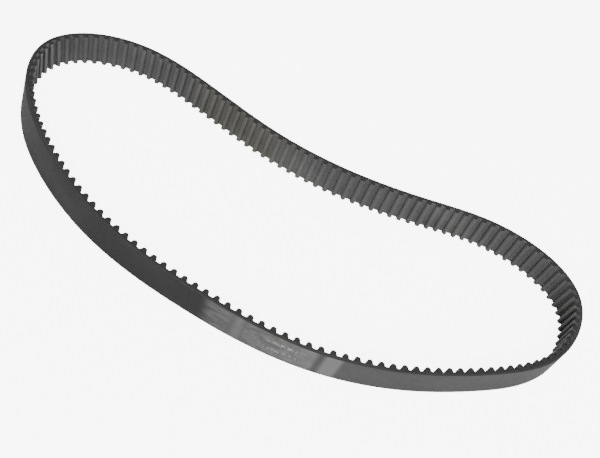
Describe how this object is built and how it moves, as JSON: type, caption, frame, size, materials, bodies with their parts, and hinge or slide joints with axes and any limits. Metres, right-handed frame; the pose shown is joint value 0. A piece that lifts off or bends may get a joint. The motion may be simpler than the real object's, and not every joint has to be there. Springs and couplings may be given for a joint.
{
  "type": "timing belt",
  "caption": "Endless rubber timing belt with rounded teeth inside, standing on its cut edge in a loose bean-shaped loop that flexes.",
  "frame": {"origin": "under the middle of the loop's box, on the plane that the lower cut edge stands on", "axes": "+Z across the belt's width, +X along the loop's long way, +Y towards the strand that bends inwards"},
  "size_m": [0.2862, 0.1252, 0.015],
  "materials": {
    "back_rubber": "ground matte rubber",
    "tensile_cords": "dark treated glass cord",
    "tooth_rubber": "moulded rubber, cut edge",
    "tooth_facing": "woven fabric"
  },
  "bodies": {
    "section_01": {"back_rubber_01": "back_rubber", "tensile_cords_01": "tensile_cords", "tooth_rubber_01": "tooth_rubber", "tooth_facing_01": "tooth_facing"},
    "section_02": {"back_rubber_02": "back_rubber", "tensile_cords_02": "tensile_cords", "tooth_rubber_02": "tooth_rubber", "tooth_facing_02": "tooth_facing"},
    "section_03": {"back_rubber_03": "back_rubber", "tensile_cords_03": "tensile_cords", "tooth_rubber_03": "tooth_rubber", "tooth_facing_03": "tooth_facing"},
    "section_04": {"back_rubber_04": "back_rubber", "tensile_cords_04": "tensile_cords", "tooth_rubber_04": "tooth_rubber", "tooth_facing_04": "tooth_facing"},
    "section_05": {"back_rubber_05": "back_rubber", "tensile_cords_05": "tensile_cords", "tooth_rubber_05": "tooth_rubber", "tooth_facing_05": "tooth_facing"},
    "section_06": {"back_rubber_06": "back_rubber", "tensile_cords_06": "tensile_cords", "tooth_rubber_06": "tooth_rubber", "tooth_facing_06": "tooth_facing"},
    "section_07": {"back_rubber_07": "back_rubber", "tensile_cords_07": "tensile_cords", "tooth_rubber_07": "tooth_rubber", "tooth_facing_07": "tooth_facing"},
    "section_08": {"back_rubber_08": "back_rubber", "tensile_cords_08": "tensile_cords", "tooth_rubber_08": "tooth_rubber", "tooth_facing_08": "tooth_facing"}
  },
  "joints": [
    {"name": "loop_flex", "type": "hinge", "parent": "section_05", "child": "section_06", "pos_m": [-0.00882, -0.06089, 0], "axis": [0, 0, 1], "range_deg": [-12, 12], "stiffness_Nm_per_rad": 0.01},
    {"name": "flex_front_left", "type": "hinge", "parent": "section_06", "child": "section_07", "pos_m": [-0.08976, -0.03739, 0], "axis": [0, 0, 1], "range_deg": [-6.3, 6.3]},
    {"name": "flex_left_end", "type": "hinge", "parent": "section_07", "child": "section_08", "pos_m": [-0.14181, 0.02636, 0], "axis": [0, 0, 1], "range_deg": [-4.4, 4.4]},
    {"name": "flex_front_right", "type": "hinge", "parent": "section_05", "child": "section_04", "pos_m": [0.07444, -0.04831, 0], "axis": [0, 0, 1], "range_deg": [-5.5, 5.5]},
    {"name": "flex_right_end", "type": "hinge", "parent": "section_04", "child": "section_03", "pos_m": [0.13908, 0.00307, 0], "axis": [0, 0, 1], "range_deg": [-5, 5]},
    {"name": "flex_rear_right", "type": "hinge", "parent": "section_03", "child": "section_02", "pos_m": [0.09062, 0.05226, 0], "axis": [0, 0, 1], "range_deg": [-0.5, 0.5]},
    {"name": "flex_rear_middle", "type": "hinge", "parent": "section_02", "child": "section_01", "pos_m": [0.00645, 0.04137, 0], "axis": [0, 0, 1], "range_deg": [-9.4, 9.4]}
  ],
  "couplings": [
    {"joint": "flex_front_left", "follows": "loop_flex", "ratio": -0.5175},
    {"joint": "flex_left_end", "follows": "loop_flex", "ratio": -0.3621},
    {"joint": "flex_front_right", "follows": "loop_flex", "ratio": 0.4537},
    {"joint": "flex_right_end", "follows": "loop_flex", "ratio": 0.4107},
    {"joint": "flex_rear_right", "follows": "loop_flex", "ratio": 0.0344},
    {"joint": "flex_rear_middle", "follows": "loop_flex", "ratio": -0.7784}
  ]
}
